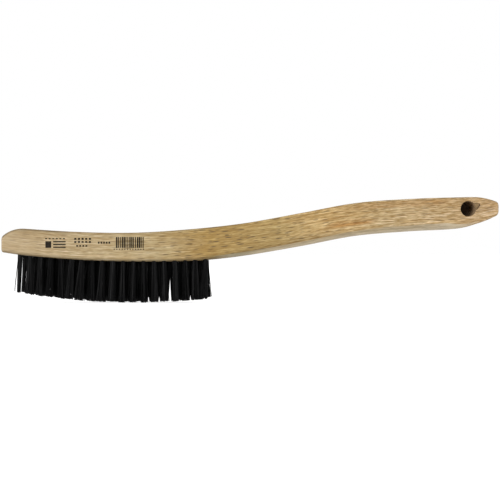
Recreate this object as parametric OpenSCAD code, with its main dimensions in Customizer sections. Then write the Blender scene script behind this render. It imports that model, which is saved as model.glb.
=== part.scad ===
// Wire scratch brush: one curved beech blank is both handle and block, and carries three staggered
// rows of steel wire tufts. Each tuft is a bundle of wire folded over a flat steel staple in a
// blind hole.
// The origin is the centre of the hanging hole, halfway across the blank. +X runs along the handle
// to its tip, +Y runs across the blank, +Z points away from the bristles.

/* [Blank] */
// Overall length, nose to tip
overall_len = 355.6; // [345:0.1:366]
// Width of the blank, side to side
blank_w = 22.2; // [22:0.1:24]
// Size of the rounded lower edges at the end of the grip
grip_edge_r = 4.5; // [3:0.1:5.5]
// How flat the rounded lower edges are, from a quarter circle at 0 to a chamfer at 1
edge_flatness = 0.45; // [0:0.05:0.9]
// Radius of the eased upper edges
top_edge_r = 1.3; // [0.8:0.1:2]
// Radius of the curve from the top of the block down to the nose
nose_curve_r = 22.5; // [20:0.5:30]
// Radius of the curve from the top of the grip down to the tip
tip_curve_r = 45; // [40:1:60]

/* [Hanging hole] */
// Diameter of the hanging hole
hang_hole_d = 11.112; // [9:0.001:12]
// Distance from the hanging hole's centre to the tip
hang_hole_to_tip = 21.8; // [20:0.1:24]

/* [Tufts] */
// Distance between neighbouring tufts in a row
col_pitch = 7.38; // [7.2:0.01:7.45]
// Distance between neighbouring rows across the block
row_pitch = 8.1; // [7.6:0.1:8.2]
// Diameter of each tuft hole
tuft_hole_d = 4.0; // [3.6:0.1:4.2]
// Depth of each tuft hole
tuft_hole_depth = 11; // [9:0.5:12]
// Diameter of a tuft where its wires are trimmed
tuft_tip_d = 5.8; // [4.6:0.1:5.8]
// Bristle length at the lowest point of the trim
trim_len = 29.5; // [22:0.5:32]
// Radius of the curve that the bristle tips are trimmed to
trim_curve_r = 493; // [400:1:700]

/* [Staples] */
// Length of each flat staple, which bites into the wood on both sides of its hole
staple_len = 5.2; // [4.8:0.1:5.4]
// Height of each staple
staple_h = 2.0; // [1.5:0.1:2.5]
// Thickness of each staple
staple_t = 0.5; // [0.4:0.05:0.7]

/* [Hidden] */
ROW_NAMES = ["front", "middle", "back"];
ROW_TUFTS = [19, 18, 19];
ROWS = len(ROW_NAMES);
function tuft_name(row, col) = str("tuft_", ROW_NAMES[row], col < 9 ? "_0" : "_", col + 1);

// The stations below are for a blank of this length, and scale with overall_len
station_len = 355.6;
size_k = overall_len / station_len;
tip_x = hang_hole_to_tip;
nose_x = tip_x - overall_len;

// Stations along the blank, [x, z]: the upper edge, the lower edge, and the size of its rounding
upper_line = [
    [-334, -13.2], [-320, -14.1], [-280, -16.5], [-240, -17.1], [-200, -14.7],
    [-160, -10.3], [-120, -3.1], [-80, 4.2], [-40, 7.2], [0, 8.4], [22, 8.6]
];
lower_line = [
    [-334, -31.0], [-320, -33.0], [-280, -36.4], [-240, -37.7], [-205, -37.5],
    [-185, -36.5], [-160, -33.6], [-120, -26.8], [-80, -19.3], [-40, -15.9],
    [-10, -14.4], [-2, -13.2], [6, -10.8], [14, -8.0], [22, -4.2]
];
nose_edge_r = 1.0;
heel_edge_r = 2.4;
tip_edge_r = 1.5;
lower_edge_sizes = [
    [-334, nose_edge_r], [-310, nose_edge_r], [-190, heel_edge_r],
    [-80, (heel_edge_r + grip_edge_r) / 2], [-15, grip_edge_r],
    [0, tip_edge_r + 0.5], [22, tip_edge_r]
];
nose_curve_x = -317.5; // where the curve down to the nose starts
tip_curve_x = 3; // where the curve down to the tip starts
nose_corner_r = 1.3;
tip_corner_r = 1.6;

// Tufts: the first column, and the point that the drilled holes fan out from
first_col_x = -320.8;
fan_x = -225;
fan_r = 1600;
lowest_tip_x = -238.6; // where the trimmed bristles reach furthest down
tuft_gap = 0.05; // clearance between a tuft and its hole
fold_t = 1.3; // thickness of the wire bend above the staple
staple_gap = 0.02;
mouth_drop = 0.5; // length of tuft outside the hole before its wires start to spread
tuft_reach = 45; // more than the longest bristle

BORE_FN = 48;
TUFT_FN = 24;
TRIM_FN = 180;
CORNER_STEPS = 5; // facets around each long edge
END_STEPS = 5; // stations around the corners of the nose and tip
CURVE_STEPS = 6; // stations along the curves to the nose and tip
GRIP_STEPS = 42; // stations along the rest of the blank
EPS = 0.01;

// A smooth curve through stations p, as a cubic between each two
function slope_at(p, i) =
    let (a = max(i - 1, 0), b = min(i + 1, len(p) - 1))
    (p[b][1] - p[a][1]) / (p[b][0] - p[a][0]);
function span_of(p, x, i = 0) = i < len(p) - 2 && x >= p[i + 1][0] ? span_of(p, x, i + 1) : i;
function smooth_line(p, x) =
    let (
        i = span_of(p, x),
        run = p[i + 1][0] - p[i][0],
        t = (x - p[i][0]) / run,
        ease = t * t * (3 - 2 * t)
    )
    p[i][1] * (1 - ease) + p[i + 1][1] * ease
        + run * t * (1 - t) * (slope_at(p, i) * (1 - t) - slope_at(p, i + 1) * t);

// How far an arc of radius r falls away from its tangent, d along from where they touch
function arc_drop(r, d) = d <= 0 ? 0 : r - sqrt(r * r - d * d);
// How far a corner of radius r cuts in, d before the end face
function corner_cut(r, d) = d >= r ? 0 : r - sqrt(max(r * r - (r - d) * (r - d), 0));
// How far in from the nearer end face x is, as a cut with that end's own corner radius
function end_cut(x) = corner_cut(nose_corner_r, x - nose_x) + corner_cut(tip_corner_r, tip_x - x);

function upper_z(x) =
    size_k * smooth_line(upper_line, x / size_k)
        - arc_drop(nose_curve_r, nose_curve_x * size_k - x)
        - arc_drop(tip_curve_r, x - tip_curve_x * size_k)
        - end_cut(x);
function lower_z(x) = size_k * smooth_line(lower_line, x / size_k) + end_cut(x);
function half_w(x) = blank_w / 2 - end_cut(x) / 2;

// One cross-section of the blank at x: a rectangle with four rounded corners, as [x, y, z] points
function arc_point(a) = [cos(a), sin(a)];
function corner_points(x, y, z, r, side, turn, flatness = 0) = [
    for (i = [0 : CORNER_STEPS])
        let (
            t = i / CORNER_STEPS,
            chord = arc_point(turn) * (1 - t) + arc_point(turn + 90) * t,
            p = r * (arc_point(turn + 90 * t) * (1 - flatness) + chord * flatness)
        )
        [x, y - side * r + p[0], z + p[1]]
];
function section(x) =
    let (
        w = half_w(x),
        top = upper_z(x),
        low = lower_z(x),
        rt = min(top_edge_r, (top - low) / 3),
        rl = min(lookup(x / size_k, lower_edge_sizes), (top - low) / 3)
    )
    concat(
        corner_points(x, w, low + rl, rl, 1, -90, edge_flatness),
        corner_points(x, w, top - rt, rt, 1, 0),
        corner_points(x, -w, top - rt, rt, -1, 90),
        corner_points(x, -w, low + rl, rl, -1, 180, edge_flatness)
    );

// Where the cross-sections stand: close together at the ends, even along the grip
function spread(from, to, n) = [for (i = [0 : n - 1]) from + (to - from) * i / n];
STATIONS = concat(
    [for (i = [0 : END_STEPS - 1]) nose_x + nose_corner_r * (1 - cos(90 * i / END_STEPS))],
    spread(nose_x + nose_corner_r, nose_curve_x * size_k, CURVE_STEPS),
    spread(nose_curve_x * size_k, tip_curve_x * size_k, GRIP_STEPS),
    spread(tip_curve_x * size_k, tip_x - tip_corner_r, CURVE_STEPS),
    [for (i = [0 : END_STEPS]) tip_x - tip_corner_r * (1 - sin(90 * i / END_STEPS))]
);

module blank() {
    rings = [for (x = STATIONS) section(x)];
    n = len(rings[0]);
    last = len(rings) - 1;
    walls = [
        for (i = [0 : last - 1], j = [0 : n - 1])
            [i * n + j, (i + 1) * n + j, (i + 1) * n + (j + 1) % n, i * n + (j + 1) % n]
    ];
    nose_face = [for (j = [0 : n - 1]) j];
    tip_face = [for (j = [n - 1 : -1 : 0]) last * n + j];
    polyhedron([for (ring = rings) each ring], concat(walls, [nose_face, tip_face]), 6);
}

// Tufts: place children with +Z along the hole, towards its bottom, and the origin at its mouth
// The middle row has one tuft fewer, and stands half a pitch along from the outer rows
function hole_x(row, col) =
    first_col_x * size_k + (col + (ROW_TUFTS[0] - ROW_TUFTS[row]) / 2) * col_pitch;
module at_hole(row, col) {
    x = hole_x(row, col);
    translate([x, (row - (ROWS - 1) / 2) * row_pitch, lower_z(x)])
        rotate([0, -asin((x - fan_x * size_k) / fan_r), 0])
            children();
}
module at_each_hole() {
    for (row = [0 : ROWS - 1], col = [0 : ROW_TUFTS[row] - 1]) at_hole(row, col) children();
}
module staple_box(gap) {
    translate([0, 0, tuft_hole_depth - fold_t - staple_h / 2])
        cube([staple_len + 2 * gap, staple_t + 2 * gap, staple_h + 2 * gap], center = true);
}

// Everything above the curved surface that the bristle tips are trimmed to
module trim_body() {
    x = lowest_tip_x * size_k;
    translate([x, 0, lower_z(x) - trim_len + trim_curve_r])
        rotate([90, 0, 0])
            cylinder(r = trim_curve_r, h = 2 * blank_w, center = true, $fn = TRIM_FN);
}

module handle() {
    color([0.78, 0.67, 0.51]) difference() {
        blank();
        rotate([90, 0, 0]) cylinder(d = hang_hole_d, h = 2 * blank_w, center = true, $fn = BORE_FN);
        at_each_hole() {
            translate([0, 0, -tuft_hole_depth / 2])
                cylinder(d = tuft_hole_d, h = 1.5 * tuft_hole_depth, $fn = TUFT_FN);
            staple_box(staple_gap);
        }
    }
}

module staples() {
    color([0.7, 0.71, 0.73]) at_each_hole() staple_box(0);
}

module tuft(row, col) {
    root_d = tuft_hole_d - 2 * tuft_gap;
    top = tuft_hole_depth - tuft_gap;
    spread_len = trim_len - mouth_drop;
    spread_k = (tuft_tip_d - root_d) / spread_len;
    color([0.07, 0.07, 0.075]) intersection() {
        at_hole(row, col) difference() {
            union() {
                translate([0, 0, -mouth_drop]) cylinder(d = root_d, h = top + mouth_drop, $fn = TUFT_FN);
                translate([0, 0, -tuft_reach]) cylinder(
                    d1 = root_d + spread_k * (tuft_reach - mouth_drop),
                    d2 = root_d,
                    h = tuft_reach - mouth_drop,
                    $fn = TUFT_FN
                );
            }
            staple_box(staple_gap);
        }
        trim_body();
    }
}

handle();
staples();
for (row = [0 : ROWS - 1], col = [0 : ROW_TUFTS[row] - 1])
    tuft(row, col);
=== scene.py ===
"""Looks of the wire scratch brush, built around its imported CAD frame.

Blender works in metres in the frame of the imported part: the origin is the centre of the hanging hole, +X
runs along the handle to its tip, +Y across the blank and +Z away from the bristles. The formulas below work
in millimetres, like the design they follow, and MM turns them into metres.
"""

import math
import random
from types import SimpleNamespace

import bpy
import numpy as np
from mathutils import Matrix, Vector


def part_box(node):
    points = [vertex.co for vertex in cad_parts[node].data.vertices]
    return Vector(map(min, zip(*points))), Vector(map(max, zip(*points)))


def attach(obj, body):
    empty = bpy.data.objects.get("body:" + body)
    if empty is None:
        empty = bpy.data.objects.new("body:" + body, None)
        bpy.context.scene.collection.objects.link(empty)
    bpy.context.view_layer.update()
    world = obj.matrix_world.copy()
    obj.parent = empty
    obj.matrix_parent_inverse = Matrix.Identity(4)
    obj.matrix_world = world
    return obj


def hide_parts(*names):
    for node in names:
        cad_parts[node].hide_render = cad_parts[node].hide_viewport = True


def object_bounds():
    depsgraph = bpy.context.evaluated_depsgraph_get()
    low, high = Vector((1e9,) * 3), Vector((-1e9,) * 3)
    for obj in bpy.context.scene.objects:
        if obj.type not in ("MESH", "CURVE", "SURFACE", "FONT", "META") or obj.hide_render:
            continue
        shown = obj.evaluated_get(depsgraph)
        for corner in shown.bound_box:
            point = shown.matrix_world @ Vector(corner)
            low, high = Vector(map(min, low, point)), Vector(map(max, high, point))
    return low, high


MM = 0.001

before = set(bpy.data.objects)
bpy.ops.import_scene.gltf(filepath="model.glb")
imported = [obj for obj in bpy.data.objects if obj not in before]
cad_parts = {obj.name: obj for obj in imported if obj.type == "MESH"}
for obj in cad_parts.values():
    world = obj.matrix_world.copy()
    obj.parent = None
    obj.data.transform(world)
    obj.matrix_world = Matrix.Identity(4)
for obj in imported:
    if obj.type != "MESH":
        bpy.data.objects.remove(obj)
cad_low, cad_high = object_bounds()
handle_low, handle_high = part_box("handle")

# --------------------------------------------------------------------------------------------------
# Sizes in mm. The blank's upper and lower edges are curves through stations (x, z)
# --------------------------------------------------------------------------------------------------
NOSE_X = handle_low[0] / MM
TIP_X = handle_high[0] / MM
MID_X = (NOSE_X + TIP_X) / 2
HALF_W = handle_high[1] / MM
UPPER_LINE = [
    (-334, -13.2), (-320, -14.1), (-280, -16.5), (-240, -17.1), (-200, -14.7),
    (-160, -10.3), (-120, -3.1), (-80, 4.2), (-40, 7.2), (0, 8.4), (22, 8.6),
]
LOWER_LINE = [
    (-334, -31.0), (-320, -33.0), (-280, -36.4), (-240, -37.7), (-205, -37.5),
    (-185, -36.5), (-160, -33.6), (-120, -26.8), (-80, -19.3), (-40, -15.9),
    (-10, -14.4), (-2, -13.2), (6, -10.8), (14, -8.0), (22, -4.2),
]
# how far the two lower edges are rounded, at stations (x, radius)
LOWER_SIZES = [(-334, 1.0), (-310, 1.0), (-190, 2.4), (-80, 3.45), (-15, 4.5), (0, 2.0), (22, 1.5)]
LOWER_FLATNESS = 0.45  # the lower edges lie this far between a quarter circle and a chamfer
UPPER_RADIUS = 1.3
NOSE_CURVE_X, NOSE_CURVE_R = -317.5, 22.5
TIP_CURVE_X, TIP_CURVE_R = 3.0, 45.0
NOSE_CORNER_R, TIP_CORNER_R = 1.3, 1.6
HOLE_R = 5.556
GRAIN_BEND = 0.85  # how much of the blank's bend its grain follows
STATION_STEP = 1.25  # between cross-sections along the blank
END_STEPS = 8  # cross-sections around the corners of the nose and of the tip
CORNER_STEPS = 10  # faces around each long edge
FACE_STEPS = 6  # faces across each flat
GRAIN_STEPS = 400  # points along the curve that the grain follows
BORE_SIDES, TUFT_HOLE_SIDES = 96, 28
SHARP_ANGLE = 16  # in degrees: edges that turn less than this are shaded smooth

# Tufts
ROWS = {"front": 19, "middle": 18, "back": 19}
COL_PITCH, ROW_PITCH = 7.38, 8.1
FIRST_COL_X = -320.8
FAN_X, FAN_R = -225.0, 1600.0  # the axes of the holes meet above FAN_X, at this distance
TUFT_HOLE_R, TUFT_HOLE_DEPTH = 2.0, 11.0
TRIM_X, TRIM_R, TRIM_LEN = -238.6, 493.0, 29.5  # the tips lie on an arc that is lowest at TRIM_X
WIRE_R = 0.175
WIRE_SIDES = 6
WIRES_PER_TUFT = 38  # each is folded in half, so it shows twice
BUNDLE_GAP = 0.12  # between the outer wires of a full tuft and the wall of its hole


def smooth_line(stations, x):
    """A smooth curve through the stations at x, which may be an array."""
    xs, zs = np.array(stations, float).T
    slopes = np.empty_like(xs)
    slopes[1:-1] = (zs[2:] - zs[:-2]) / (xs[2:] - xs[:-2])
    slopes[0] = (zs[1] - zs[0]) / (xs[1] - xs[0])
    slopes[-1] = (zs[-1] - zs[-2]) / (xs[-1] - xs[-2])
    i = np.clip(np.searchsorted(xs, x, side="right") - 1, 0, len(xs) - 2)
    run = xs[i + 1] - xs[i]
    t = (x - xs[i]) / run
    ease = t * t * (3 - 2 * t)
    bend = run * t * (1 - t) * (slopes[i] * (1 - t) - slopes[i + 1] * t)
    return zs[i] * (1 - ease) + zs[i + 1] * ease + bend


def arc_drop(r, d):
    """How far an arc of radius r falls away from its tangent, d along from where they touch."""
    return r - np.sqrt(np.maximum(r * r - np.maximum(d, 0) ** 2, 0))


def corner_cut(r, d):
    """How far a corner of radius r cuts in, d before the end face."""
    return r - np.sqrt(np.maximum(r * r - np.maximum(r - d, 0) ** 2, 0))


def end_cut(x):
    return corner_cut(NOSE_CORNER_R, x - NOSE_X) + corner_cut(TIP_CORNER_R, TIP_X - x)


def upper_z(x):
    nose = arc_drop(NOSE_CURVE_R, NOSE_CURVE_X - x)
    tip = arc_drop(TIP_CURVE_R, x - TIP_CURVE_X)
    return smooth_line(UPPER_LINE, x) - nose - tip - end_cut(x)


def lower_z(x):
    return smooth_line(LOWER_LINE, x) + end_cut(x)


def trim_z(x):
    """Height of the surface that the bristle tips are trimmed to."""
    return lower_z(TRIM_X) - TRIM_LEN + arc_drop(TRIM_R, abs(x - TRIM_X))


def section(x):
    """One closed ring of (x, y, z) points around the blank at x."""
    w = HALF_W - end_cut(x) / 2
    top, low = upper_z(x), lower_z(x)
    rt = min(UPPER_RADIUS, (top - low) / 3)
    rl = min(np.interp(x, *np.array(LOWER_SIZES).T), (top - low) / 3)
    corners = [
        (w, low, rl, 1, 1, -90, LOWER_FLATNESS),
        (w, top, rt, 1, -1, 0, 0),
        (-w, top, rt, -1, -1, 90, 0),
        (-w, low, rl, -1, 1, 180, LOWER_FLATNESS),
    ]
    ring = []
    share = (np.arange(1, FACE_STEPS) / FACE_STEPS)[:, None]
    t = (np.arange(CORNER_STEPS + 1) / CORNER_STEPS)[:, None]
    for y, z, r, side, up, turn, flatness in corners:
        turns = np.radians(turn + 90 * t)
        arc = np.hstack([np.cos(turns), np.sin(turns)])
        chord = arc[0] * (1 - t) + arc[-1] * t
        corner = (y - side * r, z + up * r) + r * (arc * (1 - flatness) + chord * flatness)
        points = np.column_stack([np.full(len(corner), x), corner])
        if ring:
            ring.extend(ring[-1] * (1 - share) + points[0] * share)
        ring.extend(points)
    ring.extend(ring[-1] * (1 - share) + ring[0] * share)
    return np.array(ring)


def stations_along():
    """Where the cross-sections stand: close together around the corners of the nose and tip."""
    turn = np.radians(90 * np.arange(END_STEPS + 1) / END_STEPS)
    nose = NOSE_X + NOSE_CORNER_R * (1 - np.cos(turn))
    tip = TIP_X - TIP_CORNER_R * (1 - np.sin(turn))
    middle = np.linspace(nose[-1], tip[0], int((tip[0] - nose[-1]) / STATION_STEP))
    return np.concatenate([nose, middle[1:-1], tip])


# --------------------------------------------------------------------------------------------------
# Mesh helpers
# --------------------------------------------------------------------------------------------------
def new_object(name, points, faces):
    """A mesh object from points in mm."""
    mesh = bpy.data.meshes.new(name)
    mesh.from_pydata([tuple(p) for p in np.asarray(points) * MM], [], faces)
    mesh.validate()
    obj = bpy.data.objects.new(name, mesh)
    bpy.context.scene.collection.objects.link(obj)
    return obj


def apply_modifiers(obj):
    mesh = bpy.data.meshes.new_from_object(obj.evaluated_get(bpy.context.evaluated_depsgraph_get()))
    obj.modifiers.clear()
    old, obj.data = obj.data, mesh
    bpy.data.meshes.remove(old)


def cut(obj, cutter):
    """Takes the cutter away from obj. The new faces keep the cutter's material."""
    mod = obj.modifiers.new("cut", "BOOLEAN")
    mod.operation = "DIFFERENCE"
    mod.solver = "EXACT"
    mod.material_mode = "TRANSFER"
    mod.object = cutter
    apply_modifiers(obj)
    bpy.data.objects.remove(cutter)


def rods(name, ends, radius, sides):
    """A cutter of closed rods from each start to each end, in mm."""
    points, faces = [], []
    turn = 2 * math.pi * np.arange(sides) / sides
    for start, end in ends:
        axis = (end - start).normalized()
        u = axis.orthogonal().normalized()
        v = axis.cross(u)
        n = len(points)
        for centre in (start, end):
            points += [centre + radius * (math.cos(a) * u + math.sin(a) * v) for a in turn]
        for i in range(sides):
            j = (i + 1) % sides
            faces.append((n + i, n + j, n + sides + j, n + sides + i))
        faces.append(tuple(range(n + sides - 1, n - 1, -1)))
        faces.append(tuple(range(n + sides, n + 2 * sides)))
    return new_object(name, points, faces)


# --------------------------------------------------------------------------------------------------
# Node materials
# --------------------------------------------------------------------------------------------------
class Nodes:
    """Short calls for building a node material."""

    def __init__(self, name):
        self.material = bpy.data.materials.new(name)
        self.material.use_nodes = True
        self.tree = self.material.node_tree
        self.shader = self.tree.nodes["Principled BSDF"]

    def put(self, socket, value):
        if isinstance(value, bpy.types.NodeSocket):
            self.tree.links.new(value, socket)
        else:
            socket.default_value = value

    def add(self, kind, inputs=(), **settings):
        node = self.tree.nodes.new(kind)
        for key, value in settings.items():
            setattr(node, key, value)
        for key, value in dict(inputs).items():
            self.put(node.inputs[key], value)
        return node

    def math(self, operation, a, b=0.0, c=0.0):
        return self.add("ShaderNodeMath", {0: a, 1: b, 2: c}, operation=operation).outputs[0]

    def times(self, a, b):
        return self.math("MULTIPLY", a, b)

    def spread(self, value, factor):
        """Moves a value away from 0.5, or closer to it."""
        return self.math("MULTIPLY_ADD", self.math("SUBTRACT", value, 0.5), factor, 0.5)

    def remap(self, value, low, high, to_low=0.0, to_high=1.0, kind="SMOOTHSTEP"):
        inputs = {"Value": value, "From Min": low, "From Max": high, "To Min": to_low, "To Max": to_high}
        return self.add("ShaderNodeMapRange", inputs, interpolation_type=kind).outputs["Result"]

    def band(self, value, start, full, fall, end):
        """0 up to start, 1 from full to fall and 0 again from end."""
        return self.times(self.remap(value, start, full), self.remap(value, end, fall))

    def mix(self, factor, a, b, blend="MIX"):
        node = self.add("ShaderNodeMix", data_type="RGBA", blend_type=blend)
        self.put(node.inputs[0], factor)
        self.put(node.inputs[6], a)
        self.put(node.inputs[7], b)
        return node.outputs[2]

    def vector(self, operation, a, b=(0.0, 0.0, 0.0)):
        return self.add("ShaderNodeVectorMath", {0: a, 1: b}, operation=operation).outputs

    def scaled(self, vector, x, y, z):
        return self.vector("MULTIPLY", vector, (x, y, z))[0]

    def parts(self, vector):
        """The X, Y and Z of a vector."""
        return self.add("ShaderNodeSeparateXYZ", {"Vector": vector}).outputs

    def attribute(self, name, kind="Vector"):
        return self.add("ShaderNodeAttribute", attribute_name=name).outputs[kind]

    def place(self):
        return self.add("ShaderNodeTexCoord").outputs["Object"]

    def noise(self, vector, detail=2.0, roughness=0.5, distortion=0.0):
        inputs = {"Vector": vector, "Scale": 1.0, "Detail": detail}
        inputs.update({"Roughness": roughness, "Distortion": distortion})
        return self.add("ShaderNodeTexNoise", inputs).outputs["Fac"]

    def grain_noise(self, grain, length, width, height, **settings):
        """A noise whose spots have about the given size in mm along, across and above the grain."""
        return self.noise(self.scaled(grain, 1 / length, 1 / width, 1 / height), **settings)

    def shade(self, colour, value, low, high, to_low, to_high):
        """Multiplies a colour by a value mapped to a range."""
        return self.mix(1.0, colour, self.remap(value, low, high, to_low, to_high, "LINEAR"), "MULTIPLY")

    def grain_shade(self, colour, value, low, high, to_low, to_high):
        """The same for wood, whose darker parts are browner: green and blue fall off faster than red."""
        dark, light = ((k, k**1.28, k**2, 1) for k in (to_low, to_high))
        tint = self.mix(self.remap(value, low, high, kind="LINEAR"), dark, light)
        return self.mix(1.0, colour, tint, "MULTIPLY")

    def ramp(self, value, stops):
        """A colour that runs through the stops, each a (position, (r, g, b))."""
        node = self.add("ShaderNodeValToRGB", {"Fac": value})
        elements = node.color_ramp.elements
        while len(elements) < len(stops):
            elements.new(0.5)
        for element, (place, colour) in zip(elements, stops):
            element.position = place
            element.color = (*colour, 1)
        return node.outputs["Color"]

    def bump(self, height, strength, distance):
        inputs = {"Height": height, "Strength": strength, "Distance": distance}
        return self.add("ShaderNodeBump", inputs).outputs["Normal"]

    def finish(self, **inputs):
        """Sets the shader's inputs, named in small letters with _ for a space, and gives the material."""
        for key, value in inputs.items():
            self.put(self.shader.inputs[key.replace("_", " ").title().replace("Ior", "IOR")], value)
        return self.material


def flecks(n, grain, length, height, depth, seed, share):
    """Short dark ray flecks, one to a cell of the given size in mm, in the given share of the cells."""
    cells = n.scaled(grain, 1 / length, 1 / depth, 1 / height)
    cells = n.vector("ADD", cells, (seed, seed * 0.7, seed * 1.3))[0]
    voronoi = n.add("ShaderNodeTexVoronoi", {"Vector": cells, "Scale": 1.0, "Randomness": 1.0})
    away = n.vector("SUBTRACT", cells, voronoi.outputs["Position"])[0]
    distance = n.vector("LENGTH", n.scaled(away, 2.4, 0.8, 5.4))["Value"]
    shade = n.add("ShaderNodeSeparateColor", {"Color": voronoi.outputs["Color"]})
    edge = n.remap(distance, 0.35, 1.05, 1.0, 0.0)
    kept = n.remap(shade.outputs["Red"], 1 - share, 1 - share * 0.5)
    return n.times(edge, kept)


WOOD_STOPS = [  # distance along the blank in mm, and the colour of clean wood there
    (-330, (0.466, 0.338, 0.173)),
    (-230, (0.480, 0.356, 0.167)),
    (-185, (0.405, 0.250, 0.065)),
    (-140, (0.415, 0.280, 0.095)),
    (-100, (0.598, 0.399, 0.157)),
    (-60, (0.541, 0.387, 0.184)),
    (-20, (0.536, 0.366, 0.170)),
    (20, (0.515, 0.338, 0.162)),
]

# Darker and lighter zones, some in the wood's own tone and some painted shade (marked below): the edge each
# is measured from, its stretch along the blank and its band from that edge (both in mm, as start, full,
# fall, end), and its tint
TONE_AND_SHADE_ZONES = [
    # painted shade: the upper edge of the nose, which faces up
    ("top", (-323, -316, -296, -280), (0.3, 1.0, 3.0, 5.5), (0.88, 0.85, 0.78)),
    ("top", (-172, -155, -122, -108), (-1.0, 0.4, 3.5, 6.5), (1.17, 1.17, 1.20)),
    ("top", (0, 8, 40, 50), (1.0, 1.8, 3.8, 5.6), (1.25, 1.28, 1.34)),
    # painted shade: the rounded lower edge at the heel, beside the last tufts
    ("low", (-196, -184, -168, -148), (-1.0, -0.5, 2.6, 4.0), (0.64, 0.67, 0.67)),
    # painted shade: a dark line where the flat side rolls into the rounded lower edge
    ("low", (-178, -160, -38, -10), (1.2, 2.3, 3.4, 5.2), (0.72, 0.69, 0.62)),
    ("low", (-138, -120, -100, -84), (3.0, 4.0, 5.5, 9.5), (0.78, 0.78, 0.78)),
    ("low", (-36, -28, -6, 4), (4.2, 4.9, 5.9, 6.8), (1.30, 1.33, 1.40)),
    ("low", (0, 8, 40, 50), (0.8, 1.6, 3.2, 5.2), (1.18, 1.22, 1.30)),
]

# Colours of the wood's marks
BROWN_STREAK = (0.430, 0.245, 0.070, 1)
BROWN_BAND = (0.410, 0.205, 0.050, 1)
RAY_FLECK = (0.120, 0.075, 0.030, 1)
# painted shade along the upper edge, which faces up
PAINTED_TOP_SHADE = (0.200, 0.140, 0.060, 1)
# painted shade along the lower edge of the block, where the tufts shade it
PAINTED_TUFT_SHADE = (0.130, 0.095, 0.050, 1)
# painted reflection of the pale floor on the downward-facing rounding
PAINTED_SHEEN_WOOD = (0.57, 0.485, 0.345, 1)
END_GRAIN, END_PORE = (0.40, 0.26, 0.13, 1), (0.20, 0.115, 0.05, 1)


def blank_places(n):
    """Where a point of the blank is, in mm, and which way it faces."""
    grain = n.attribute("grain")
    rim = n.parts(n.attribute("rim"))
    return SimpleNamespace(
        grain=grain,
        along=n.parts(grain)["X"],
        below_top=rim["X"],
        above_low=rim["Y"],
        facing=n.parts(n.add("ShaderNodeNewGeometry").outputs["Normal"]),
    )


def wood_noises(n, at):
    """The wood's noises, from soft clouds to fine fibres."""
    cloud = n.grain_noise(at.grain, 30, 6, 4.5, detail=4, roughness=0.6)
    long = n.grain_noise(at.grain, 45, 1.5, 0.95, detail=2, roughness=0.6)
    lines = n.grain_noise(at.grain, 7.5, 1.4, 0.8, detail=2, roughness=0.6, distortion=0.35)
    fibre = n.grain_noise(at.grain, 15, 0.5, 0.35, detail=4, roughness=0.65)
    # the nose is plainer, and the lines open up towards the tip
    plain = n.remap(at.along, -322.0, -300.0, 0.5, 1.0)
    openness = n.times(n.remap(at.along, -160.0, -30.0, 1.7, 4.0), plain)
    return SimpleNamespace(
        cloud=cloud,
        long=n.spread(long, plain),
        lines=n.spread(lines, openness),
        fibre=fibre,
    )


def clean_wood(n, at, noise):
    """The colour of the clean wood along the blank, with clouds, streaks, bands, open lines and fibres."""
    # the places of the stops drift by up to 25 mm, so one colour runs unevenly into the next
    drift = n.grain_noise(at.grain, 50, 12, 8, detail=3)
    shifted = n.math("MULTIPLY_ADD", drift, 50.0, n.math("SUBTRACT", at.along, 25.0))
    low, high = WOOD_STOPS[0][0], WOOD_STOPS[-1][0]
    stops = [((x - low) / (high - low), colour) for x, colour in WOOD_STOPS]
    colour = n.ramp(n.remap(shifted, low, high, kind="LINEAR"), stops)

    # soft clouds, and warm brown streaks that run along the grain
    colour = n.grain_shade(colour, noise.cloud, 0.3, 0.7, 0.90, 1.09)
    streak = n.grain_noise(at.grain, 60, 8, 2.4, detail=3, roughness=0.6, distortion=0.5)
    gripped = n.remap(at.along, -210.0, -120.0, 0.25, 0.70)
    colour = n.mix(n.times(n.remap(streak, 0.52, 0.70), gripped), colour, BROWN_STREAK)
    colour = n.grain_shade(colour, noise.long, 0.3, 0.7, 0.80, 1.19)

    # a brown band below the grip's upper edge, and a few orange streaks above its lower edge
    upper = n.times(n.band(at.along, -100, -55, -30, -2), n.band(at.below_top, 0.5, 2.2, 4.0, 6.5))
    lower = n.times(n.band(at.along, -106, -92, -74, -62), n.band(at.below_top, 10.5, 13.0, 15.0, 17.0))
    band = n.times(n.math("MAXIMUM", upper, lower), n.remap(noise.long, 0.36, 0.56, 0.25, 0.95))
    colour = n.mix(band, colour, BROWN_BAND)

    colour = n.grain_shade(colour, noise.lines, 0.2, 0.8, 0.74, 1.23)
    return n.grain_shade(colour, noise.fibre, 0.3, 0.7, 0.86, 1.12)


def ray_flecks(n, at):
    """How strong the dark ray flecks are on the flat sides: wide before the grip and thin on it."""
    large = flecks(n, at.grain, 9.0, 3.0, 22.0, 3.1, 0.62)
    small = n.times(flecks(n, at.grain, 5.5, 2.0, 14.0, 8.6, 0.45), 0.75)
    thin = flecks(n, at.grain, 7.0, 1.5, 12.0, 5.4, 0.55)
    away_from_nose = n.remap(at.along, -265.0, -185.0, 0.34, 1.0)
    away_from_grip = n.remap(at.along, -160.0, -70.0, 1.0, 0.5)
    wide = n.times(n.math("MAXIMUM", large, small), n.times(away_from_nose, away_from_grip))
    fleck = n.math("MAXIMUM", wide, n.times(thin, n.remap(at.along, -150.0, -80.0, 0.1, 0.48)))
    return n.times(fleck, n.remap(n.math("ABSOLUTE", at.facing["Y"]), 0.45, 0.75))


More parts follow.
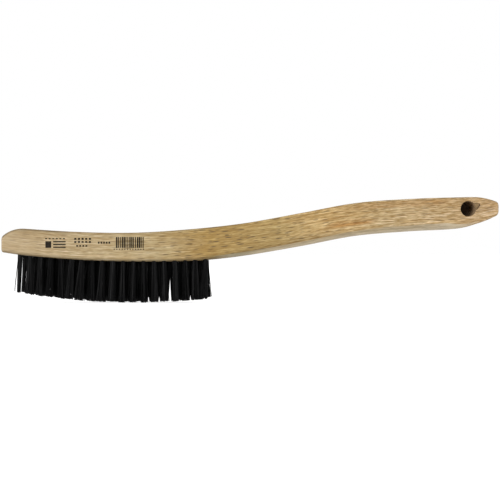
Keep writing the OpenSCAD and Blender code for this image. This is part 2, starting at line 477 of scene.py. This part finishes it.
def painted_edge_shade(n, at, noise, colour):
    """Painted shade along the upper edge, and painted shade along the lower edge of the block, among the
    tufts.
    """
    # painted shade along the upper edge, which faces up and gets less light
    edge = n.times(n.remap(at.below_top, 0.6, 1.9, 1.0, 0.0), n.remap(noise.cloud, 0.35, 0.6, 0.6, 1.0))
    # painted shade along the lower edge of the block, among the tufts
    tuft_shade_mask = n.times(n.remap(at.above_low, 0.4, 2.6, 1.0, 0.0), n.remap(at.along, -168.0, -188.0))
    top_shade_mask = n.times(edge, n.remap(at.along, -300.0, -280.0, 1.0, 0.35))
    top_shade_mask = n.times(top_shade_mask, n.remap(at.along, -178.0, -160.0, 1.0, 0.25))
    colour = n.mix(top_shade_mask, colour, PAINTED_TOP_SHADE)
    return n.mix(n.times(tuft_shade_mask, 0.55), colour, PAINTED_TUFT_SHADE)


def underside_sheen(n, at, noise, colour):
    """Painted reflection of the pale floor on the rounded underside of the grip: paler, greyer wood where
    it faces down.
    """
    # painted reflection: the parts of the lower rounding that face down
    sheen_mask = n.times(n.remap(at.facing["Z"], -0.22, -0.42), n.band(at.along, -188.0, -168.0, -6.0, 10.0))
    bare = n.shade(PAINTED_SHEEN_WOOD, noise.fibre, 0.3, 0.7, 0.88, 1.1)
    bare = n.shade(bare, noise.lines, 0.2, 0.8, 0.9, 1.1)
    return n.mix(n.times(sheen_mask, 0.8), colour, bare)


def tone_and_shade_zones(n, at, noise, colour):
    """The darker and lighter zones along the edges, a little broken up by the grain: the wood's own tone,
    and painted shade where marked.
    """
    for edge, stretch, band, tint in TONE_AND_SHADE_ZONES:
        from_edge = at.below_top if edge == "top" else at.above_low
        zone = n.times(n.band(at.along, *stretch), n.band(from_edge, *band))
        zone = n.times(zone, n.remap(noise.long, 0.3, 0.55, 0.6, 1.0))
        colour = n.mix(zone, colour, n.mix(1.0, colour, (*tint, 1), "MULTIPLY"))
    return colour


def end_grain(n, at, colour):
    """Pores and growth rings on the faces at the nose and the tip."""
    pores = n.grain_noise(at.grain, 6, 0.35, 0.35, detail=3, roughness=0.7)
    rings = n.grain_noise(at.grain, 60, 9, 1.3, detail=2)
    cut_wood = n.mix(n.remap(pores, 0.4, 0.65), END_GRAIN, END_PORE)
    cut_wood = n.shade(cut_wood, rings, 0.3, 0.7, 0.75, 1.2)
    return n.mix(n.remap(n.math("ABSOLUTE", at.facing["X"]), 0.7, 0.9), colour, cut_wood)


def beech_material():
    n = Nodes("beech")
    at = blank_places(n)
    noise = wood_noises(n, at)
    fleck = ray_flecks(n, at)
    colour = n.mix(fleck, clean_wood(n, at, noise), RAY_FLECK)
    colour = painted_edge_shade(n, at, noise, colour)
    colour = underside_sheen(n, at, noise, colour)
    colour = tone_and_shade_zones(n, at, noise, colour)
    colour = end_grain(n, at, colour)
    relief = n.math("ADD", noise.fibre, n.times(noise.lines, 0.5))
    relief = n.math("MULTIPLY_ADD", fleck, -0.8, relief)
    n.finish(base_color=colour, normal=n.bump(relief, 0.4, 0.00006))
    n.finish(roughness=n.math("MULTIPLY_ADD", noise.fibre, 0.2, 0.42), specular_ior_level=0.3)
    return n.finish(coat_weight=0.15, coat_roughness=0.3)


def raw_wood_material(name, tone):
    """Freshly cut or drilled beech: no lacquer, rough, torn fibres."""
    n = Nodes(name)
    torn = n.grain_noise(n.attribute("grain"), 3, 0.5, 0.25, detail=5, roughness=0.7)
    dark = tuple(c * 0.45 for c in tone[:3]) + (1,)
    colour = n.mix(n.remap(torn, 0.3, 0.7), tone, dark)
    return n.finish(base_color=colour, roughness=0.8, normal=n.bump(torn, 0.8, 0.0002))


def wire_material():
    """Blackened tempered steel wire, each strand a little different, with faint scuffs, and painted light
    on the first tufts at the nose.
    """
    n = Nodes("black_wire")
    scuff = n.noise(n.scaled(n.place(), 900, 900, 120), detail=4, roughness=0.6)
    share = n.times(n.attribute("tone", "Fac"), 0.5)
    dark = n.mix(share, (0.0003, 0.0003, 0.0004, 1), (0.0557, 0.0557, 0.0566, 1))
    colour = n.shade(dark, scuff, 0.3, 0.7, 0.6, 1.4)
    roughness = n.remap(scuff, 0.3, 0.7, 0.42, 0.62)
    n.finish(metallic=0.35, specular_ior_level=0.07)
    return n.finish(base_color=colour, roughness=roughness, normal=n.bump(scuff, 0.3, 0.00004))


def cut_end_material():
    """The trimmed end of a wire shows bare grey steel."""
    n = Nodes("cut_wire_end")
    grit = n.noise(n.scaled(n.place(), 3000, 3000, 3000), detail=3)
    colour = n.mix(grit, (0.04, 0.04, 0.042, 1), (0.16, 0.16, 0.16, 1))
    return n.finish(base_color=colour, roughness=0.45, metallic=0.9, normal=n.bump(grit, 0.5, 0.00003))


def staple_material():
    n = Nodes("staple_steel")
    drawn = n.noise(n.scaled(n.place(), 300, 4000, 4000), detail=4)
    colour = n.mix(drawn, (0.38, 0.38, 0.39, 1), (0.62, 0.62, 0.63, 1))
    n.finish(roughness=n.remap(drawn, 0.3, 0.7, 0.25, 0.45), metallic=1.0)
    return n.finish(base_color=colour, normal=n.bump(drawn, 0.3, 0.00002))


def ink_material():
    """Dark ink pressed into open grain: it thins out along the fibres."""
    n = Nodes("stamp_ink")
    fibre = n.noise(n.scaled(n.place(), 160, 160, 1500), detail=4, roughness=0.65)
    patch = n.noise(n.scaled(n.place(), 500, 500, 500), detail=2)
    worn = n.times(n.remap(fibre, 0.5, 0.75), n.remap(patch, 0.35, 0.65, 0.1, 0.6))
    colour = n.mix(worn, (0.014, 0.010, 0.006, 1), (0.22, 0.15, 0.075, 1))
    n.finish(roughness=0.7, specular_ior_level=0.15)
    return n.finish(base_color=colour, normal=n.bump(fibre, 0.3, 0.00005))


# --------------------------------------------------------------------------------------------------
# The handle and block
# --------------------------------------------------------------------------------------------------
def hole_frame(row, col):
    """The mouth of a tuft hole and the direction into the wood, in mm. The middle row is staggered."""
    x = FIRST_COL_X + (col + (ROWS["front"] - ROWS[row]) / 2) * COL_PITCH
    y = (list(ROWS).index(row) - (len(ROWS) - 1) / 2) * ROW_PITCH
    tilt = math.asin((x - FAN_X) / FAN_R)
    return Vector((x, y, lower_z(x))), Vector((-math.sin(tilt), 0, math.cos(tilt)))


def add_grain(mesh):
    """Stores two vectors for each point, in mm.

    "grain" is how far the point is along the wood's grain, across it and above it: the grain follows most
    of the blank's bend. "rim" is how far it is below the upper outline and above the lower one.
    """
    xs = np.linspace(NOSE_X, TIP_X, GRAIN_STEPS)
    centre = GRAIN_BEND * (smooth_line(UPPER_LINE, xs) + smooth_line(LOWER_LINE, xs)) / 2
    slope = np.gradient(centre, xs)
    lengths = np.concatenate([[0], np.cumsum(np.hypot(np.diff(xs), np.diff(centre)))])
    lengths -= np.interp(0, xs, lengths)
    points = np.empty(len(mesh.vertices) * 3)
    mesh.vertices.foreach_get("co", points)
    points = points.reshape(-1, 3) / MM
    x = points[:, 0]
    above = (points[:, 2] - np.interp(x, xs, centre)) * np.cos(np.arctan(np.interp(x, xs, slope)))
    grain = np.column_stack([np.interp(x, xs, lengths), points[:, 1], above])
    mesh.attributes.new("grain", "FLOAT_VECTOR", "POINT").data.foreach_set("vector", grain.ravel())
    rim = np.column_stack([upper_z(x) - points[:, 2], points[:, 2] - lower_z(x), x * 0])
    mesh.attributes.new("rim", "FLOAT_VECTOR", "POINT").data.foreach_set("vector", rim.ravel())


def chip_cutter():
    """A shallow wedge beside the hanging hole, where the drill tore a splinter out of the surface."""
    mouth = [
        (3.0, 3.9), (5.6, 4.6), (8.6, 4.0), (9.2, 2.4),
        (7.9, 0.9), (6.6, -1.1), (4.9, -1.9), (3.6, 0.0),
    ]
    bottom = [
        (3.2, 3.3), (5.3, 3.7), (7.4, 3.2), (7.7, 2.4),
        (6.8, 1.3), (5.7, -0.3), (4.8, -1.0), (3.8, 0.2),
    ]
    deepest = (5.4, -HALF_W + 0.7, 1.6)
    far_x = 7.5  # the walls past this face the hole and look darker
    count = len(mouth)
    points = [(x * 1.02, -HALF_W - 0.4, z * 1.02) for x, z in mouth]
    points += [(x, -HALF_W + 0.55, z) for x, z in bottom]
    walls = [(i, (i + 1) % count, count + (i + 1) % count, count + i) for i in range(count)]
    floor = [(count + i, count + (i + 1) % count, 2 * count) for i in range(count)]
    lid = tuple(range(count - 1, -1, -1))
    chip = new_object("chip_cutter", points + [deepest], walls + floor + [lid])
    chip.data.materials.append(raw_wood_material("torn_wood", (0.34, 0.22, 0.10, 1)))
    chip.data.materials.append(raw_wood_material("chip_end", (0.16, 0.09, 0.04, 1)))
    wall_slots = [1 if x > far_x else 0 for x, _ in mouth]
    chip.data.polygons.foreach_set("material_index", wall_slots + [0] * (count + 1))
    return chip


def make_handle():
    rings = [section(x) for x in stations_along()]
    n = len(rings[0])
    faces = []
    for i in range(len(rings) - 1):
        for j in range(n):
            k = (j + 1) % n
            faces.append((i * n + j, (i + 1) * n + j, (i + 1) * n + k, i * n + k))
    faces.append(tuple(range(n)))
    faces.append(tuple(range(len(rings) * n - 1, (len(rings) - 1) * n - 1, -1)))
    handle = new_object("beech_handle", np.vstack(rings), faces)
    handle.data.flip_normals()
    handle.data.materials.append(beech_material())

    beyond = Vector((0, HALF_W + 2, 0))
    bore = rods("bore_cutter", [(-beyond, beyond)], HOLE_R, BORE_SIDES)
    bore.data.materials.append(raw_wood_material("bore_wall", (0.50, 0.34, 0.19, 1)))
    cut(handle, bore)
    cut(handle, chip_cutter())
    ends = []
    for row, count in ROWS.items():
        for col in range(count):
            mouth, inward = hole_frame(row, col)
            ends.append((mouth - inward * TUFT_HOLE_DEPTH / 2, mouth + inward * TUFT_HOLE_DEPTH))
    holes = rods("hole_cutter", ends, TUFT_HOLE_R, TUFT_HOLE_SIDES)
    holes.data.materials.append(raw_wood_material("tuft_hole_wall", (0.30, 0.20, 0.11, 1)))
    cut(handle, holes)

    add_grain(handle.data)
    handle.data.shade_smooth()
    handle.data.set_sharp_from_angle(angle=math.radians(SHARP_ANGLE))
    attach(handle, "root")
    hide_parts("handle")


# --------------------------------------------------------------------------------------------------
# Printed marks: plain bars and blocks, with no letters or figures
# --------------------------------------------------------------------------------------------------
def make_marks():
    """Flat ink marks on the front face, each one a thin closed box, in mm."""
    proud, sunk = 0.02, 0.1
    boxes = []

    def bar(x, z, w, h):
        boxes.append((x, x + w, z, z + h))

    def row(x, z, w, h, pitch, count):
        for i in range(count):
            bar(x + i * pitch, z, w, h)

    # an emblem: dashes over a plain block beside three bars
    row(-302.4, -21.8, 1.4, 0.8, 2.55, 6)
    bar(-302.2, -28.0, 4.2, 4.8)
    for z in (-28.0, -26.0, -24.0):
        bar(-296.7, z, 9.0, 0.9)
    # two rows of squares over dashes
    row(-281.6, -22.2, 1.6, 1.3, 2.6, 5)
    row(-281.6, -24.4, 1.6, 1.3, 2.6, 5)
    row(-280.2, -27.1, 1.4, 1.1, 2.2, 4)
    # dashes
    row(-264.7, -25.0, 1.2, 1.5, 1.9, 5)
    # hatching over a row of dots
    for i in range(15):
        w = 1.05 if i % 4 in (0, 3) else 0.75
        bar(-251.8 + i * 1.36, -28.0, w, 7.8)
    row(-253.4, -29.4, 0.8, 0.8, 1.9, 12)

    points, faces = [], []
    for x0, x1, z0, z1 in boxes:
        n = len(points)
        for y in (-HALF_W - proud, -HALF_W + sunk):
            points += [(x0, y, z0), (x1, y, z0), (x1, y, z1), (x0, y, z1)]
        faces += [(n, n + 1, n + 2, n + 3), (n + 7, n + 6, n + 5, n + 4)]
        faces += [(n + i, n + 4 + i, n + 4 + (i + 1) % 4, n + (i + 1) % 4) for i in range(4)]
    marks = new_object("stamped_marks", points, faces)
    marks.data.materials.append(ink_material())
    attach(marks, "root")


# --------------------------------------------------------------------------------------------------
# Wire tufts
# --------------------------------------------------------------------------------------------------
# How far the wires of each front tuft are bent towards the tip, in degrees from their hole's axis
FRONT_LEAN = (
    0.7, 0.9, 0.5, 0, 1.8, -1.8, -3.0, -0.9, -1.1, -1.3,
    -2.1, 0, 0.3, 0.8, 0.8, 0.6, 0.6, 0.3, -3.4,
)
# Tufts that stand out: "lean" is the same angle for a tuft of another row, "root" the radius of its bundle
# in the hole, "part" how far its wires part in the middle, leaving a gap to see through, "bend" how close
# to the tips they part, "flare" how much the tuft widens and "strays" how far single wires stick out
TUFT_SHAPES = {
    ("front", 0): {"root": 1.75, "part": 0.0, "flare": -0.48, "strays": (-2.6, -1.7)},
    ("front", 1): {"part": 1.3, "flare": 0.60},
    ("front", 15): {"root": 1.78},
    ("middle", 0): {"lean": 7.0, "part": 0.0, "flare": 0.0},
    ("middle", 6): {"lean": -1.9},
    ("middle", 12): {"lean": -2.0, "part": 2.2, "flare": 0.1, "bend": 9.0},
    ("middle", 13): {"lean": -1.8, "part": 1.9, "flare": 0.1, "bend": 9.0},
    ("middle", 14): {"lean": -0.8, "part": 2.5, "flare": 0.0, "bend": 2.5},
    ("middle", 15): {"lean": -1.3, "part": 0.8, "flare": 0.1, "bend": 6.0},
    ("middle", 16): {"lean": -1.2, "part": 1.6, "flare": 0.1, "bend": 9.0},
    ("back", 0): {"lean": -0.1, "root": 1.8, "part": 0.0, "flare": -0.42},
    ("back", 12): {"lean": -3.8},
    ("back", 13): {"lean": -3.5},
    ("back", 14): {"lean": -3.4, "flare": 0.1},
    ("back", 15): {"lean": -3.9, "flare": 0.1},
    ("back", 16): {"lean": -2.6},
    ("back", 17): {"lean": -2.3},
}
# How wires run, in mm where they are lengths
LEG_DEPTHS = (8.6, 3.0)  # of a wire's points inside its hole
LEG_SHARES = (0.0, 0.2, 0.42, 0.66, 0.86, 1.0)  # where its other points lie, from its hole to its tip
LEG_BEND = 1.05  # it bends almost evenly on the way
STAPLE_GAP = 0.3  # between a wire's fold and the bottom of its hole, and between each leg and the middle
CLUMPS = 5  # the wires of a tuft lean together in this many clumps
SIDE_FLARE = 0.22  # how much a tuft widens across the blank
WANDER = 0.14  # how far a wire's tip is from its place in its clump
STRAY_SHARE, STRAY_ALONG, STRAY_ACROSS = 0.03, 1.2, 0.4  # a few wires stick out this far
SHORT_SHARE, SHORT_BY = 0.05, (0.5, 2.2)  # and a few are this much shorter
STRANDS = 9  # each tuft has this many lighter and darker strands across it
PAINTED_LIGHT_COLS = 4  # the wires of the first columns at the nose are painted brighter: painted light from the left


def tube(path, radius, out):
    """Adds a closed tube along a path of points to out, which holds points, faces and cap faces."""
    points, faces, caps = out
    path = np.asarray(path)
    tangent = np.gradient(path, axis=0)
    tangent /= np.linalg.norm(tangent, axis=1)[:, None]
    u = np.cross(tangent, (1.0, 0.0, 0.0))
    u /= np.linalg.norm(u, axis=1)[:, None]
    v = np.cross(tangent, u)
    start = len(points)
    turn = 2 * math.pi * np.arange(WIRE_SIDES) / WIRE_SIDES
    for i in range(len(path)):
        points.extend(path[i] + radius * (np.cos(turn)[:, None] * u[i] + np.sin(turn)[:, None] * v[i]))
    for i in range(len(path) - 1):
        a = start + i * WIRE_SIDES
        for j in range(WIRE_SIDES):
            k = (j + 1) % WIRE_SIDES
            faces.append((a + j, a + k, a + WIRE_SIDES + k, a + WIRE_SIDES + j))
    last = start + (len(path) - 1) * WIRE_SIDES
    caps.append(tuple(range(start + WIRE_SIDES - 1, start - 1, -1)))
    caps.append(tuple(range(last, last + WIRE_SIDES)))


def tuft_wires(row, col):
    """The path of each wire of a tuft, from tip to tip over the staple, and its tone."""
    rng = random.Random(f"{row}{col}")
    mouth, inward = hole_frame(row, col)
    across = Vector((0, 1, 0))
    sideways = across.cross(inward)
    lean = rng.gauss(0, 1.0)
    shape = TUFT_SHAPES.get((row, col), {})
    lean = FRONT_LEAN[col] if row == "front" else shape.get("lean", lean)
    tip_shift = math.tan(math.radians(lean)) * (mouth.z - trim_z(mouth.x))
    side_lean = rng.gauss(0, 0.25)
    part = rng.uniform(0.2, 1.5) if row == "front" else rng.uniform(0.0, 0.8)
    part_at = 0.0 if "part" in shape else rng.uniform(-0.6, 0.6)
    part = shape.get("part", part)
    part_bend = shape.get("bend", LEG_BEND)
    scatter = 0.2 if "part" in shape else rng.uniform(0.35, 0.85)
    clumps = [(rng.gauss(0, scatter), rng.gauss(0, 0.42)) for _ in range(CLUMPS)]
    clump_turn = rng.uniform(0, 2 * math.pi)
    trim = rng.gauss(0, 0.25)
    flare = shape.get("flare", rng.uniform(0.2, 0.5))
    full_r = TUFT_HOLE_R - WIRE_R - BUNDLE_GAP
    root_r = shape.get("root", full_r)
    strays = list(shape.get("strays", ()))
    count = round(WIRES_PER_TUFT * (root_r / full_r) ** 2)

    def place(x, y, depth):
        return mouth + sideways * x + across * y + inward * depth

    def leg(x, y):
        """Points from the staple to the trimmed tip, for a wire that leaves the hole at x, y."""
        turn = (math.atan2(y, x) + clump_turn) / (2 * math.pi) * CLUMPS
        clump_x, clump_y = clumps[int(turn) % CLUMPS]
        shift_x = tip_shift + clump_x + x * flare + rng.gauss(0, WANDER)
        part_x = math.copysign(part / 2, x - part_at * root_r)
        shift_y = side_lean + clump_y + y * SIDE_FLARE + rng.gauss(0, WANDER)
        if strays and x < -0.6 * root_r:
            shift_x += strays.pop()
        elif "part" not in shape and rng.random() < STRAY_SHARE:
            shift_x += rng.gauss(0, STRAY_ALONG)
            shift_y += rng.gauss(0, STRAY_ACROSS)
        bow = rng.gauss(0, 0.1)
        tip_x = mouth.x + x + shift_x + part_x
        short = max(0, 0.3 + trim + rng.gauss(0, 0.15))
        if rng.random() < SHORT_SHARE:
            short += rng.uniform(*SHORT_BY)
        reach = (mouth.z - trim_z(tip_x) - short) / inward.z
        points = [place(x * 0.98, y * 0.98, LEG_DEPTHS[0]), place(x, y, LEG_DEPTHS[1])]
        for share in LEG_SHARES:
            ease = share**LEG_BEND
            curl = bow * math.sin(math.pi * share)
            out_x = x + shift_x * ease + part_x * share**part_bend + curl
            points.append(place(out_x, y + shift_y * ease - curl, -reach * share))
        return points

    paths, tones = [], []
    strands = [rng.random() ** 2.5 for _ in range(STRANDS)]
    # painted light: the tufts nearest the nose are brightened, as if lit more from the left
    painted_light = 1 + 0.5 * max(0, 1 - col / PAINTED_LIGHT_COLS)
    for k in range(count):
        # spread the two legs of each wire evenly over the two halves of the hole
        r = root_r * math.sqrt((k + 0.5) / count)
        turn = math.pi * (0.08 + 0.84 * ((k * 0.618034) % 1.0))
        x = r * math.cos(turn) + rng.gauss(0, 0.05)
        y = STAPLE_GAP + (root_r - STAPLE_GAP) / root_r * r * math.sin(turn)
        fold = TUFT_HOLE_DEPTH - STAPLE_GAP - 0.9 * (r / root_r) * rng.random()
        first = leg(x, -y)
        second = leg(x + rng.gauss(0, 0.08), y)
        loop = [place(x, -y * 0.55, fold - 0.35), place(x, 0, fold), place(x, y * 0.55, fold - 0.35)]
        paths.append([tuple(p) for p in first[::-1] + loop + second])
        strand = min(int((x / root_r + 1) / 2 * STRANDS), STRANDS - 1)
        tones.append(painted_light * (0.75 * strands[strand] + 0.25 * rng.random() ** 2))
    return paths, tones


def make_tuft(row, col, black, bare):
    """One tuft's wires as tubes: black along their length and bare at their cut ends."""
    paths, tones = tuft_wires(row, col)
    points, faces, caps = [], [], []
    for path in paths:
        tube(path, WIRE_R, (points, faces, caps))
    obj = new_object(f"wires_{row}_{col + 1:02d}", points, faces + caps)
    mesh = obj.data
    mesh.materials.append(black)
    mesh.materials.append(bare)
    mesh.polygons.foreach_set("use_smooth", [True] * len(faces) + [False] * len(caps))
    mesh.polygons.foreach_set("material_index", [0] * len(faces) + [1] * len(caps))
    tone = mesh.attributes.new("tone", "FLOAT", "POINT")
    tone.data.foreach_set("value", np.repeat(tones, len(points) // len(paths)))
    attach(obj, "root")
    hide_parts(f"tuft_{row}_{col + 1:02d}")


def make_tufts():
    black, bare = wire_material(), cut_end_material()
    for row, count in ROWS.items():
        for col in range(count):
            make_tuft(row, col, black, bare)


def finish_staples():
    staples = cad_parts["staples"]
    staples.data.materials.clear()
    staples.data.materials.append(staple_material())


# --------------------------------------------------------------------------------------------------
# Stage, light and camera
# --------------------------------------------------------------------------------------------------
def hide_from_behind(n, front):
    """Shows the front shader, but lets the camera see through the face from behind."""
    seen = n.add("ShaderNodeLightPath").outputs["Is Camera Ray"]
    back = n.add("ShaderNodeNewGeometry").outputs["Backfacing"]
    clear = n.add("ShaderNodeBsdfTransparent").outputs["BSDF"]
    mix = n.add("ShaderNodeMixShader", {0: n.times(seen, back), 1: front, 2: clear})
    n.put(n.tree.nodes["Material Output"].inputs["Surface"], mix.outputs["Shader"])


def make_floor():
    """A plain pale floor just under the bristle tips. It can't be seen from below."""
    n = Nodes("floor_paint")
    mottle = n.noise(n.scaled(n.place(), 3, 3, 3), detail=2)
    rays = n.add("ShaderNodeLightPath").outputs
    # the floor glows evenly for the camera, and for glossy rays too: painted light that brightens its
    # reflections
    glow = n.math("MULTIPLY_ADD", rays["Is Glossy Ray"], 0.9, n.times(rays["Is Camera Ray"], 0.75))
    n.finish(base_color=n.mix(mottle, (0.88, 0.88, 0.88, 1), (0.92, 0.92, 0.92, 1)))
    n.finish(roughness=0.9, specular_ior_level=0.0, emission_color=(1, 1, 1, 1), emission_strength=glow)
    hide_from_behind(n, n.shader.outputs["BSDF"])
    half, z = 6000, cad_low[2] / MM - 0.3
    corners = [(MID_X + x * half, y * half, z) for x, y in ((-1, -1), (1, -1), (1, 1), (-1, 1))]
    floor = new_object("floor", corners, [(0, 1, 2, 3)])
    floor.data.materials.append(n.material)


def make_hole_card():
    """A dark disc at the back of the hanging hole: painted shade, as if the brush lay on its side on a
    shaded table.

    It can't be seen from behind.
    """
    n = Nodes("hole_shade")
    hide_from_behind(n, n.add("ShaderNodeBsdfDiffuse", {"Color": (0.15, 0.11, 0.08, 1)}).outputs["BSDF"])
    y, sides = HALF_W - 0.3, 48
    turn = 2 * math.pi * np.arange(sides) / sides
    rim = np.column_stack([HOLE_R * np.cos(turn), np.full(sides, y), HOLE_R * np.sin(turn)])
    card = new_object("hole_card", rim, [tuple(range(sides))])
    card.data.materials.append(n.material)


def add_area_light(name, place, target, size, power):
    light = bpy.data.lights.new(name, "AREA")
    light.shape = "DISK"
    light.size = size
    light.energy = power
    obj = bpy.data.objects.new(name, light)
    obj.location = place
    obj.rotation_mode = "QUATERNION"
    obj.rotation_quaternion = (Vector(target) - Vector(place)).to_track_quat("-Z", "Y")
    bpy.context.scene.collection.objects.link(obj)


def make_light():
    """Soft lights around the brush, and a white world that lights it less than the camera sees of it."""
    world = bpy.data.worlds.new("studio")
    world.use_nodes = True
    tree = world.node_tree
    background = tree.nodes["Background"]
    background.inputs["Color"].default_value = (1, 1, 1, 1)
    path = tree.nodes.new("ShaderNodeLightPath")
    strength = tree.nodes.new("ShaderNodeMapRange")
    tree.links.new(path.outputs["Is Camera Ray"], strength.inputs["Value"])
    strength.inputs["To Min"].default_value = 0.31
    strength.inputs["To Max"].default_value = 1.0
    tree.links.new(strength.outputs["Result"], background.inputs["Strength"])
    bpy.context.scene.world = world
    middle = (-0.156, 0, -0.03)
    add_area_light("key", (-1.45, -1.3, 0.35), middle, 0.7, 13)
    add_area_light("front", (-0.6, -1.6, 0.6), middle, 0.5, 7)
    add_area_light("fill", (0.9, -1.5, 0.35), middle, 1.2, 6)
    add_area_light("back", (0.2, 1.4, 1.1), middle, 1.0, 10)


def make_camera():
    """Square-on to the flat side, level with the middle of the brush."""
    distance, shown_w, z = 700.0, 357.25, -29.5
    camera = bpy.data.cameras.new("camera")
    camera.sensor_width = 36
    camera.lens = camera.sensor_width * distance / shown_w
    camera.clip_start, camera.clip_end = 0.05, 50
    obj = bpy.data.objects.new("camera", camera)
    obj.location = Vector((MID_X, -HALF_W - distance, z)) * MM
    obj.rotation_euler = (math.radians(90), 0, 0)
    bpy.context.scene.collection.objects.link(obj)
    bpy.context.scene.camera = obj
    bpy.context.scene.view_settings.view_transform = "Standard"


make_handle()
make_marks()
make_tufts()
finish_staples()
make_floor()
make_hole_card()
make_light()
make_camera()
